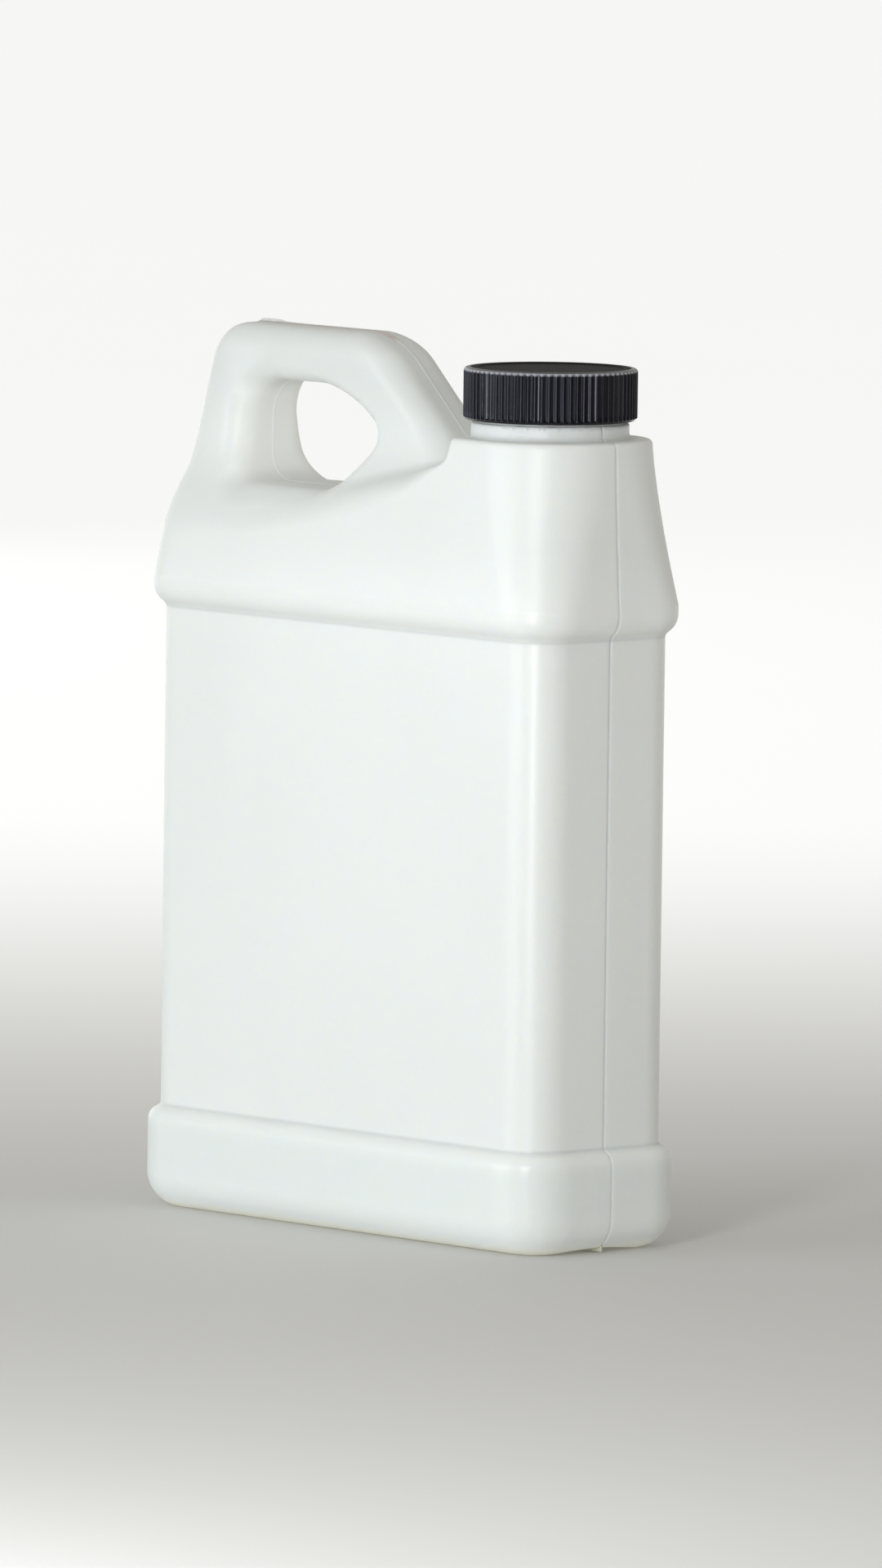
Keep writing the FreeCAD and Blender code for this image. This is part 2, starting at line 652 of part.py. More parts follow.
cap_shell = doc.addObject("PartDesign::Body", "cap_shell")
cap_shell.setExpression("Placement.Base.x", NECK_X)
cap_shell.setExpression("Placement.Base.z", FOOT_Z)
cap_profile = body_sketch(cap_shell, "cap_profile", "XZ_Plane")
rim_in = "(%s - Dims.cap_round - Dims.cap_rim)" % CAP_R
bead_low = "(%s - Dims.liner_thick - 3 * Dims.bead_proud)" % CEILING
polygon(cap_profile, [
    ("%s + Dims.cap_lead_in" % BORE, "0"),
    ("%s - Dims.cap_foot" % CAP_R, "0"),
    (CAP_R, "Dims.cap_foot"),
    (CAP_R, "%s - Dims.cap_round" % CAP_TOP),
    ("%s - Dims.cap_round * 0.4" % CAP_R, "%s - Dims.cap_round * 0.4" % CAP_TOP),
    ("%s - Dims.cap_round" % CAP_R, CAP_TOP),
    (rim_in, CAP_TOP),
    ("%s - Dims.cap_recess" % rim_in, "%s - Dims.cap_recess" % CAP_TOP),
    ("0", "%s - Dims.cap_recess" % CAP_TOP),
    ("0", CEILING),
    (BORE, CEILING),
    (BORE, bead_low + " + 2 * Dims.bead_proud"),
    (BORE + " - Dims.bead_proud", bead_low + " + Dims.bead_proud"),
    (BORE, bead_low),
    (BORE, "Dims.cap_lead_in"),
])
shell_turn = cap_shell.newObject("PartDesign::Revolution", "shell_turn")
shell_turn.Profile = cap_profile
shell_turn.ReferenceAxis = (cap_profile, ["V_Axis"])
shell_turn.Angle = 360
doc.recompute()
groove_sketch = body_sketch(cap_shell, "groove_sketch", "XY_Plane")
groove_in = "(%s - Dims.rib_height)" % CAP_R
groove_out = "(%s + Dims.rib_height)" % CAP_R
polygon(groove_sketch, [
    (groove_in, "0"),
    (groove_out, "-2 * Dims.rib_height * tan(Dims.rib_flank * 1 deg)"),
    (groove_out, "2 * Dims.rib_height * tan(Dims.rib_flank * 1 deg)"),
])
groove_sketch.setExpression("AttachmentOffset.Base.z", "Dims.cap_foot_band")
groove = cap_shell.newObject("PartDesign::Pocket", "groove")
groove.Profile = groove_sketch
groove.Reversed = True
groove.setExpression("Length", CAP_TOP)
doc.recompute()
ribs = cap_shell.newObject("PartDesign::PolarPattern", "ribs")
ribs.Originals = [groove]
ribs.Axis = (groove_sketch, ["N_Axis"])
ribs.Angle = 360
ribs.setExpression("Occurrences", "Dims.rib_count")
cap_shell.Tip = ribs
# the cap's thread runs under the neck's, a clearance below the flank that it pulls on
flank_share = "(%s - Dims.neck_dia / 2) * tan(Dims.thread_flank * 1 deg)" % BORE
thread_drop = "((Dims.thread_base + Dims.cap_thread_base) / 2 - %s + Dims.thread_clear)" % flank_share
cap_thread_start = "(%s + Dims.thread_start - %s)" % (SHELF, thread_drop)
cap_thread = helical_thread("cap_thread", BORE, THREAD_SINK, "Dims.cap_thread_height",
                            "Dims.cap_thread_base", cap_thread_start, True)
screw_cap = fuse("screw_cap", [cap_shell, cap_thread])

# ---------------------------------------------------------------- liner
cap_liner = doc.addObject("Part::Cylinder", "cap_liner")
cap_liner.setExpression("Radius", "%s - Dims.liner_clear" % BORE)
cap_liner.setExpression("Height", "Dims.liner_thick")
cap_liner.setExpression("Placement.Base.x", NECK_X)
cap_liner.setExpression("Placement.Base.z", RIM)

doc.recompute()
pieces = [jug_body, screw_cap, cap_liner]
for made in doc.Objects:
    if "Invalid" in made.State or "Error" in made.State:
        raise RuntimeError("%s failed: %s" % (made.Name, made.State))
for piece in pieces:
    piece.Label = piece.Name
    shape = piece.Shape
    if shape.isNull() or not shape.isValid() or len(shape.Solids) != 1:
        raise RuntimeError("%s has no single valid solid" % piece.Label)
if shell_turn.Shape.Volume - groove.Shape.Volume < TOUCH:
    raise RuntimeError("the cap's groove cuts nothing")

os.makedirs("parts", exist_ok=True)
for piece in pieces:
    piece.Shape.exportStep("parts/%s.step" % piece.Label)
    print(piece.Label, round(piece.Shape.Volume, 1), "mm3")
print("brimful", round(hollow.Shape.Volume / 1000, 1), "ml")
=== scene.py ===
import math

import bpy
import numpy as np
from mathutils import Matrix, Vector


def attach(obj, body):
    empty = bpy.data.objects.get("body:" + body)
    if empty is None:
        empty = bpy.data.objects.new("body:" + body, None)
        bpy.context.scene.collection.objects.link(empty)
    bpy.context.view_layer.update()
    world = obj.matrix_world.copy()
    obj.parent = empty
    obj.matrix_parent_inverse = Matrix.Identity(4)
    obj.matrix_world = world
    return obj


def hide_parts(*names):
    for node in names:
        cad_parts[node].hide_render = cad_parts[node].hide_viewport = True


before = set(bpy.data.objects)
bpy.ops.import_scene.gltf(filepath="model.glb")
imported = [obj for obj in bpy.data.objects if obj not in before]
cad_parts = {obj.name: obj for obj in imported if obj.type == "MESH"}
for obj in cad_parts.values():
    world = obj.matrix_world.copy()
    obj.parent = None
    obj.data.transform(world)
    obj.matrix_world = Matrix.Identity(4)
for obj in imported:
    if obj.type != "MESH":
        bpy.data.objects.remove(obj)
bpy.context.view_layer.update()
scene = bpy.context.scene
MM = 0.001

# -------------------------------------------------- sizes, in millimetres
# plans: half length, half width, corner radius
PANEL = (69.0, 22.5, 10.0)
BEAD = (72.0, 25.5, 13.0)
PUSHUP = (56.0, 12.0, 6.0)
# levels
BASE_TOP, PANEL_TOP, SHOULDER = 24.0, 142.5, 149.5
COLLAR, CROWN, HANDLE = 188.0, 212.0, 209.0
PANEL_ENDS = (12.0, 146.0)
# roundings of outer edges and fillets of inner ones
HEEL, BASE_LIP, BEAD_LIP, COLLAR_LIP, SHELF_LIP, FOOT_LIP = 8.5, 3.6, 5.0, 1.0, 0.6, 0.8
LOW_CREASE, HIGH_CREASE, HANDLE_ROOT, NECK_ROOT = 0.6, 0.8, 3.0, 1.2
# underside
PUSHUP_DRAW, PUSHUP_TOP = 1.54, 2.6
CHANNEL_R, CHANNEL_DEPTH = 70.0, 0.9
# handle and grip hole: points (x, z) of their outlines, and the bar's section
HANDLE_TAIL, HANDLE_BACK = (-86.1, 144.5), (-63.3, HANDLE)
HANDLE_FRONT, HANDLE_FOOT = (-6.3, HANDLE), (24.0, 180.9)
HANDLE_LIP, HANDLE_END_LIP = 6.0, 8.0
GRIP_BACK, GRIP_FLOOR, GRIP_ROOF = -51.0, 172.0, 196.3
GRIP_ROOF_FRONT, GRIP_TIP, GRIP_FLOOR_FRONT = (-17.0, GRIP_ROOF), (-4.2, 185.4), (-14.5, GRIP_FLOOR)
GRIP_LOW_R, GRIP_HIGH_R, GRIP_ROOF_R = 7.0, 9.5, 7.0
GRIP_FRONT_R, GRIP_TIP_EXTRA_R = 3.0, 1.0
GRIP_LIP_BACK, GRIP_LIP_FRONT = 5.6, 4.5
BAR_HALF, BAR_FOOT, FLARE_R, LEG_EXTRA = 8.8, 189.5, 22.0, 1.9
# rounding of the shoulder's ridges: the least, what the middle adds, what the collar takes off
RIDGE_R, RIDGE_MIDDLE, RIDGE_AT_COLLAR = 3.0, 6.0, 1.8
# collar: its cut edge, and the valley that runs up to it
COLLAR_CUT, COLLAR_EDGE = (34.8, 183.4), (36.2, COLLAR)
VALLEY_X, VALLEY_Z = 22.0, 182.8
VALLEY_NEAR, VALLEY_FAR, VALLEY_R, VALLEY_HEAD_R = 0.0469, 0.3346, 10.0, 2.5
# taper: levels, then the back end's x, half width and corner radius at each
TAPER = ((SHOULDER, COLLAR, CROWN), (-72.0, -69.6, -68.1), (25.5, 16.26, 10.5), (13.0, 10.84, 9.5))
NECK_END_IN, NECK_SIDE_IN, NECK_CORNER_OUT, NECK_END_CURVE = 1.9, 2.4, 8.0, 1.4
# parting line: a groove on the body, a bead on the handle, and its half width
SEAM_GROOVE, SEAM_BEAD, SEAM_HALF = 0.3, 0.2, 0.26
# neck, cap and thread
NECK_X, SHELF, RIM = 47.0, 191.6, 202.0
BORE_R, NECK_R, SHELF_R = 14.7, 17.4, 18.35
WELL_R, WELL_FLOOR, NECK_LOW_END = 15.3, 151.0, 180.0
CAP_FOOT, CAP_TOP, CAP_R, CAP_BORE = 192.1, 204.2, 20.2, 18.85
CAP_BAND, CAP_LID = CAP_FOOT + 0.55, RIM + 0.92
RIBS, RIB_STEPS, RIB_DEPTH = 76, 14, 0.42
NECK_STEPS, BORE_STEPS = 320, 288
PITCH_MM, THREAD_TURNS = 4.2333, 1.25
THREAD_START, THREAD_SLOPE = SHELF + 3.0, math.tan(math.radians(30))
# threads: width at the root, height; and the room between them along the neck
NECK_THREAD, CAP_THREAD, THREAD_ROOM = (2.1, 1.2), (1.9, 1.1), 0.15
NECK_SEAM, NECK_SEAM_HALF = 0.1, 0.4
# the cap's top: its sink, the rim's inner and outer top radii and its edge
TOP_SINK, RIM_IN, RIM_OUT, CAP_EDGE = 0.35, 17.45, 18.6, 0.9
# torn flash: the fin under the base, and the scrap on the handle
FIN_END, FLASH_ENDS, FLASH_HIGH = 68.6, (-56.4, -44.4), 0.92


# -------------------------------------------------- rounded solids as distance fields
def meet(a, b, r):
    """Both a and b, their outer edge rounded by r."""
    u, v = a + r, b + r
    return np.hypot(np.maximum(u, 0), np.maximum(v, 0)) + np.minimum(np.maximum(u, v), 0) - r


def join(a, b, r):
    """a or b, the inner corner between them filled by r."""
    u, v = r - a, r - b
    return np.maximum(np.minimum(a, b), r) - np.hypot(np.maximum(u, 0), np.maximum(v, 0))


def rounded(x, y, hx, hy, r):
    return meet(np.abs(x) - hx, np.abs(y) - hy, r)


def ease(v, lo, hi):
    """A smooth step from 0 at lo to 1 at hi."""
    t = np.clip((v - lo) / (hi - lo), 0, 1)
    return t * t * (3 - 2 * t)


def half_plane(x, z, a, b):
    """Distance to the line from a to b in the XZ plane, positive on its left."""
    dx, dz = b[0] - a[0], b[1] - a[1]
    return ((z - a[1]) * dx - (x - a[0]) * dz) / math.hypot(dx, dz)


def handle_outline(x, z):
    slope = half_plane(x, z, HANDLE_FRONT, HANDLE_FOOT)
    end = half_plane(x, z, HANDLE_TAIL, HANDLE_BACK)
    return meet(meet(z - HANDLE, slope, HANDLE_LIP), end, HANDLE_END_LIP)


def grip_outline(x, z):
    front_r = GRIP_FRONT_R + GRIP_TIP_EXTRA_R * ease(z, 175, 182)
    hole = meet(GRIP_FLOOR - z, GRIP_BACK - x, GRIP_LOW_R)
    hole = meet(hole, z - GRIP_ROOF, GRIP_HIGH_R)
    hole = meet(hole, half_plane(x, z, GRIP_ROOF_FRONT, GRIP_TIP), GRIP_ROOF_R)
    return meet(hole, half_plane(x, z, GRIP_TIP, GRIP_FLOOR_FRONT), front_r)


def flare(x, y, z):
    """The handle's side: a flat bar above, thicker at its back leg, sweeping outwards below."""
    leg = LEG_EXTRA * (1 - ease(x, -58, -44)) * ease(z, 172, 186)
    y = np.abs(y) - leg
    centre = BAR_HALF + FLARE_R
    sweep = FLARE_R - np.hypot(np.minimum(y, centre) - centre, z - BAR_FOOT)
    return np.where(z > BAR_FOOT, y - BAR_HALF, sweep)


def valley(x, z, slope):
    return (z - VALLEY_Z - slope * (x - VALLEY_X)) / math.hypot(1, slope)


def collar_outline(x, z):
    top = meet(z - COLLAR, half_plane(x, z, COLLAR_CUT, COLLAR_EDGE), COLLAR_LIP)
    floor = meet(valley(x, z, VALLEY_NEAR), valley(x, z, VALLEY_FAR), VALLEY_R)
    return join(top, floor, VALLEY_HEAD_R)


def envelope(x, y, z):
    """The tapering block round the shoulder, from the bead up to the crown."""
    x0, y0, r0 = (np.interp(z, TAPER[0], row) for row in TAPER[1:])
    # the neck end draws in a little faster near the bead
    risen = np.clip((z - SHOULDER) / (COLLAR - SHOULDER), 0, 1)
    drawn = 1 - (1 - risen) ** NECK_END_CURVE
    x1 = BEAD[0] - NECK_END_IN * drawn
    y1 = BEAD[1] - NECK_SIDE_IN * drawn
    r1 = BEAD[2] + NECK_CORNER_OUT * drawn
    share = np.clip((x - x0) / (x1 - x0), 0, 1)
    side = np.abs(y) - (y0 + (y1 - y0) * share)
    return meet(side, np.maximum(x0 - x, x - x1), r0 + (r1 - r0) * ease(share, 0.3, 0.7))


def neck_distance(x, y):
    return np.hypot(x - NECK_X, y)


def shoulder_distance(x, y, z):
    """Handle, valley and collar, trimmed by the envelope down to the top of the panel."""
    side = flare(x, y, z)
    grip_lip = GRIP_LIP_BACK - (GRIP_LIP_BACK - GRIP_LIP_FRONT) * ease(x, -47, -36)
    bar = meet(handle_outline(x, z), side, HANDLE_LIP)
    handle = np.maximum(bar, meet(-grip_outline(x, z), side, grip_lip))
    solid = join(handle, collar_outline(x, z), HANDLE_ROOT)
    ridge = RIDGE_R + RIDGE_MIDDLE * ease(x, -84, -58) * (1 - ease(x, 16, 34))
    ridge -= RIDGE_AT_COLLAR * ease(x, 20, 36) * ease(z, 170, 182)
    return meet(meet(solid, envelope(x, y, z), ridge), PANEL_TOP - z, BEAD_LIP)


def underside_cuts(x, y, z):
    """The push-up under the base, and the shallow channel along it."""
    draw = z * PUSHUP_DRAW
    hx, hy, r = PUSHUP
    pushup = np.maximum(rounded(x, y, hx - draw, hy - draw, r), z - PUSHUP_TOP)
    channel = np.hypot(y, z + (CHANNEL_R - CHANNEL_DEPTH)) - CHANNEL_R
    return pushup, channel


def parting_line(x, y, z):
    """A fine groove round the body at y = 0, which turns into a fine bead along the handle."""
    on_handle = ease(z, 160, 170) * (1 - ease(x, 30, 36))
    depth = SEAM_GROOVE - (SEAM_GROOVE + SEAM_BEAD) * on_handle
    return depth * np.exp(-((y / SEAM_HALF) ** 2)) * ease(z, 0.8, 3.0)


def jug_distance(x, y, z):
    base = meet(meet(rounded(x, y, *BEAD), -z, HEEL), z - BASE_TOP, BASE_LIP)
    panel = np.maximum(rounded(x, y, *PANEL), np.maximum(PANEL_ENDS[0] - z, z - PANEL_ENDS[1]))
    body = join(join(panel, base, LOW_CREASE), shoulder_distance(x, y, z), HIGH_CREASE)
    neck = meet(neck_distance(x, y) - SHELF_R, z - SHELF, SHELF_LIP)
    body = join(body, np.maximum(neck, NECK_LOW_END - z), NECK_ROOT)
    body = np.maximum(body, -np.maximum(neck_distance(x, y) - WELL_R, WELL_FLOOR - z))
    for cut in underside_cuts(x, y, z):
        body = meet(body, -cut, FOOT_LIP)
    return body + parting_line(x, y, z)


# -------------------------------------------------- from a distance field to a mesh
def lines(*runs):
    """Grid lines from runs of (start, end, step)."""
    made = [np.linspace(a, b, max(1, round((b - a) / s)), endpoint=False) for a, b, s in runs]
    return np.concatenate(made + [[runs[-1][1]]])


def isosurface(field, gx, gy, gz):
    """Surface nets: a vertex in each crossed cell, and a quad round each crossed edge."""
    f = field(*np.meshgrid(gx, gy, gz, indexing="ij"))
    inside = f < 0
    shape = tuple(n - 1 for n in f.shape)
    total, count = np.zeros(shape + (3,)), np.zeros(shape)
    quads = []
    grids = (gx, gy, gz)
    for axis in range(3):
        lo = [slice(None)] * 3
        hi = [slice(None)] * 3
        lo[axis], hi[axis] = slice(0, -1), slice(1, None)
        a, b = f[tuple(lo)], f[tuple(hi)]
        crossed = inside[tuple(lo)] != inside[tuple(hi)]
        i, j, k = np.nonzero(crossed)
        t = a[i, j, k] / (a[i, j, k] - b[i, j, k])
        at = [grids[n][(i, j, k)[n]] for n in range(3)]
        g = grids[axis]
        at[axis] = g[(i, j, k)[axis]] * (1 - t) + g[(i, j, k)[axis] + 1] * t
        at = np.stack(at, 1)
        u, v = [n for n in range(3) if n != axis]
        base = np.stack([i, j, k], 1)
        ring = []
        for du, dv in ((0, 0), (-1, 0), (-1, -1), (0, -1)):
            cell = base.copy()
            cell[:, u] += du
            cell[:, v] += dv
            key = tuple(cell.T)
            np.add.at(total, key, at)
            np.add.at(count, key, 1)
            ring.append(np.ravel_multi_index(key, shape))
        ring = np.stack(ring, 1)
        # quads are turned so that they all face outwards
        flip = inside[tuple(lo)][i, j, k]
        if axis != 1:
            flip = ~flip
        ring[flip] = ring[flip][:, ::-1]
        quads.append(ring)
    used = np.flatnonzero(count.ravel() > 0)
    index = np.full(count.size, -1)
    index[used] = np.arange(len(used))
    points = total.reshape(-1, 3)[used] / count.ravel()[used][:, None]
    return points, index[np.concatenate(quads)]


def gradient(field, p, h=0.04):
    g = np.empty_like(p)
    for n in range(3):
        step = np.zeros(3)
        step[n] = h
        g[:, n] = (field(*(p + step).T) - field(*(p - step).T)) / (2 * h)
    return g


def settle(field, p, turns=3, reach=0.5):
    """Moves points onto the field's zero surface, by at most reach a turn."""
    for _ in range(turns):
        g = gradient(field, p)
        move = -(field(*p.T) / np.maximum((g * g).sum(1), 0.2))[:, None] * g
        size = np.linalg.norm(move, axis=1, keepdims=True)
        p = p + move * np.minimum(1, reach / np.maximum(size, 1e-9))
    return p


def add_mesh(name, points, faces, normals=None):
    mesh = bpy.data.meshes.new(name)
    mesh.from_pydata((points * MM).tolist(), [], faces.tolist())
    mesh.validate()
    mesh.update()
    mesh.shade_smooth()
    if normals is not None:
        mesh.normals_split_custom_set_from_vertices(normals.tolist())
    made = bpy.data.objects.new(name, mesh)
    scene.collection.objects.link(made)
    return made


# the grid is finest where small roundings cross it
gx = lines((-73.2, -56, 0.8), (-56, 24, 0.9), (24, 56, 0.85), (56, 73.2, 0.8))
side = lines((0.09, 0.45, 0.18), (0.45, 2.1, 0.55), (2.1, 14, 0.9), (14, 26.7, 0.78))
gy = np.concatenate([-side[::-1], side])
gz = lines((-0.6, 4, 0.5), (4, 11, 0.85), (11, 20.5, 2.4), (20.5, 26.5, 0.6), (26.5, 139.5, 6.0),
           (139.5, 152, 0.6), (152, 166, 1.2), (166, 194, 0.8), (194, 200, 1.0), (200, 211, 0.8))
points, faces = isosurface(jug_distance, gx, gy, gz)
points = settle(jug_distance, points)
normals = gradient(jug_distance, points)
normals /= np.linalg.norm(normals, axis=1, keepdims=True)
jug = add_mesh("jug_shell", points, faces, normals)


# -------------------------------------------------- turned pieces: neck finish and cap
def thread_height(angle, z, start, size, fade=0.3):
    """Height of the thread's trapezoid at an angle round the neck; its ends run out softly."""
    width, height = size
    end = 2 * math.pi * THREAD_TURNS
    total = np.zeros(np.broadcast(angle, z).shape)
    for lap in range(2):
        along = angle + 2 * math.pi * lap
        centre = start + PITCH_MM * along / (2 * math.pi)
        rise = np.clip((width / 2 - np.abs(z - centre)) / THREAD_SLOPE, 0, height)
        total = np.maximum(total, rise * ease(along, 0, fade) * (1 - ease(along, end - fade, end)))
    return total


def turned(name, rows, count, radius_at):
    """A ring of revolution through rows of (radius, z), its radii shaped by radius_at.

    Rows that start on the axis run from axis to axis; the others are a closed section.
    """
    rows = np.array(rows, float)
    angle = np.linspace(0, 2 * math.pi, count, endpoint=False)[:, None]
    radius = np.broadcast_to(rows[None, :, 0], (count, len(rows)))
    z = np.broadcast_to(rows[None, :, 1], radius.shape)
    radius = radius_at(angle, radius, z)
    to_axis = rows[0, 0] < 1e-6
    p = np.stack([NECK_X + radius * np.cos(angle), radius * np.sin(angle), z], -1).reshape(-1, 3)
    n = len(rows)
    i, j = np.meshgrid(np.arange(count), np.arange(n - (1 if to_axis else 0)), indexing="ij")
    i, j = i.ravel(), j.ravel()
    i2, j2 = (i + 1) % count, (j + 1) % n
    quads = np.stack([i * n + j, i2 * n + j, i2 * n + j2, i * n + j2], 1)
    return add_mesh(name, p, quads)


def arc(cr, cz, radius, first, last, steps):
    """Points (r, z) round a corner centred at (cr, cz), angles in degrees from outwards."""
    turns = [math.radians(first + (last - first) * k / steps) for k in range(steps + 1)]
    return [(cr + radius * math.cos(a), cz + radius * math.sin(a)) for a in turns]


def run(r, z0, z1, step):
    """Points (r, z) straight up or down from z0 to z1."""
    count = max(1, round(abs(z1 - z0) / step))
    return [(r, z0 + (z1 - z0) * k / count) for k in range(count + 1)]


def neck_shape(angle, radius, z):
    outside = (radius > NECK_R - 0.05) & (z > SHELF + 0.4)
    seam = NECK_SEAM * np.exp(-((radius * np.sin(angle) / NECK_SEAM_HALF) ** 2))
    lift = thread_height(angle, z, THREAD_START, NECK_THREAD) + seam
    return radius + np.where(outside, lift, 0)


def cap_shape(angle, radius, z):
    """Narrow rounded ribs with wide valleys; they run out at the rim and above the foot band."""
    phase = (angle * RIBS / (2 * math.pi)) % 1.0
    from_crest = 1 - np.abs(phase - 0.5) * 2
    valley_share = np.clip(ease(from_crest, 0.0, 1.0) ** 0.8 * 1.25, 0, 1)
    on_side = radius > CAP_R - 1.3
    span = ease(z, CAP_BAND - 0.05, CAP_BAND + 0.35)
    span = span * (1 - ease(z, CAP_TOP - 0.75, CAP_TOP - 0.05))
    return radius - np.where(on_side, RIB_DEPTH * valley_share * span, 0)


def bore_shape(angle, radius, z):
    """The cap's thread, which hangs below the neck's by the room between them."""
    inner = radius < CAP_BORE + 0.01
    widths = (NECK_THREAD[0] + CAP_THREAD[0]) / 2
    drop = widths - (CAP_BORE - NECK_R) * THREAD_SLOPE + THREAD_ROOM
    return radius - np.where(inner, thread_height(angle, z, THREAD_START - drop, CAP_THREAD), 0)


# the neck up its outside, over the rim and down its bore; its foot is sunk in the jug
neck_foot = WELL_FLOOR - 0.6
neck_rows = run(WELL_R + 0.7, neck_foot, SHELF - 1.0, 8)
neck_rows += run(NECK_R, SHELF - 0.7, RIM - 0.7, 0.13)
neck_rows += arc(NECK_R - 0.6, RIM - 0.6, 0.6, 0, 90, 5)
neck_rows += arc(BORE_R + 0.5, RIM - 0.5, 0.5, 90, 180, 5)
neck_rows += run(BORE_R, RIM - 1.5, neck_foot, 7)
neck = turned("neck_finish", neck_rows, NECK_STEPS, neck_shape)

# the cap from the middle of its sunk top, over the rim and the foot, to the middle of its lid
cap_rows = [(r, CAP_TOP - TOP_SINK) for r in (0, 8, RIM_IN - 1.25)]
cap_rows += [(RIM_IN - inset, CAP_TOP - down)
             for inset, down in ((0.65, 0.33), (0.4, 0.2), (0.25, 0.06), (0, 0))]
cap_rows += [(RIM_OUT, CAP_TOP)]
cap_rows += arc(CAP_R - CAP_EDGE, CAP_TOP - CAP_EDGE, CAP_EDGE, 84, 0, 10)
cap_rows += run(CAP_R, CAP_TOP - 1.2, CAP_BAND + 0.4, 1.1)
cap_rows += [(CAP_R - inset, CAP_BAND + up)
             for inset, up in ((0, 0.25), (0.02, 0.1), (0.25, -0.05), (0.42, -0.2))]
cap_rows += [(CAP_R - inset, CAP_FOOT + up) for inset, up in ((0.5, 0.3), (0.62, 0.06), (0.75, 0))]
cap_rows += [(CAP_BORE + out, CAP_FOOT + up) for out, up in ((0.22, 0), (0.12, 0.1), (0.1, 1))]
cap_rows += [(CAP_BORE + 0.1, RIM + 0.9), (CAP_BORE - 0.2, CAP_LID), (8, CAP_LID), (0, CAP_LID)]
cap = turned("cap_shell", cap_rows[::-1], RIBS * RIB_STEPS, cap_shape)

bore_rows = run(CAP_BORE, CAP_LID, CAP_FOOT + 0.35, 0.13)
bore_rows += [(CAP_BORE + 0.14, CAP_FOOT + 0.12)]
bore_rows += run(CAP_BORE + 0.16, CAP_FOOT + 0.3, CAP_LID + 0.03, 3)
bore = turned("cap_bore", bore_rows[::-1], BORE_STEPS, bore_shape)


# -------------------------------------------------- torn flash on the parting line
def torn_strip(name, xs, low, high, half):
    """A thin upright ribbon along X with its own height and thickness at each station."""
    rows = []
    for x in xs:
        a, b, t = low(x), high(x), half(x)
        rows += [(x, -t, a + 0.1), (x, -t * 0.4, a), (x, t * 0.4, a)]
        rows += [(x, t, a + 0.1), (x, t, b), (x, -t, b)]
    m = len(rows) // len(xs)
    last = len(rows) - m
    quads = []
    for i in range(0, last, m):
        for j in range(m):
            k = (j + 1) % m
            quads.append((i + m + j, i + m + k, i + k, i + j))
    quads += [(0, 1, 4, 5), (1, 2, 3, 4)]
    quads += [(last + 5, last + 4, last + 1, last), (last + 4, last + 3, last + 2, last + 1)]
    return add_mesh(name, np.array(rows), np.array(quads))


def wobble(x, seed):
    """A fixed uneven wave between -1 and 1."""
    waves = ((1.7, 1, 0.5), (4.3, 2.1, 0.3), (9.1, 3.7, 0.2))
    return sum(math.sin(x * rate + seed * shift) * share for rate, shift, share in waves)


def heel_z(x):
    """Height of the heel's rounding above the floor."""
    over = max(0.0, abs(x) - (BEAD[0] - HEEL))
    return HEEL - math.sqrt(max(0.0, HEEL ** 2 - over ** 2))


def fin_low(x):
    in_pushup = 1 - float(ease(abs(x), 52.5, 56.0))
    neck_end = float(ease(x, 59.5, 61.5))
    return 0.55 + 1.4 * in_pushup - 0.35 * neck_end + 0.1 * (1 + wobble(x, 0.4))


def fin_high(x):
    return max(1.3, 3.2 - 1.9 * float(ease(abs(x), 52.0, 57.0)), heel_z(x) + 0.6)


def fin_half(x):
    return 0.33 + 0.1 * wobble(x, 1.3)


def flash_low(x):
    return HANDLE - 0.6


def flash_high(x):
    scrap = float(ease(x, -56.8, -54.6) * (1 - ease(x, -50.0, -44.2)))
    return HANDLE + FLASH_HIGH * (scrap * (0.9 + 0.1 * wobble(x, 2.2)))


def flash_half(x):
    return 0.2 + 0.08 * wobble(x, 0.2)


fin_xs = np.linspace(-FIN_END, FIN_END, 300)
fin = torn_strip("pinch_off_fin", fin_xs, fin_low, fin_high, fin_half)
flash_xs = np.linspace(*FLASH_ENDS, 60)
flash = torn_strip("handle_flash", flash_xs, flash_low, flash_high, flash_half)

for piece in (jug, neck, fin, flash):
    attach(piece, "jug")
    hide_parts("jug_body")
for piece in (cap, bore):
    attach(piece, "cap")
    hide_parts("screw_cap")


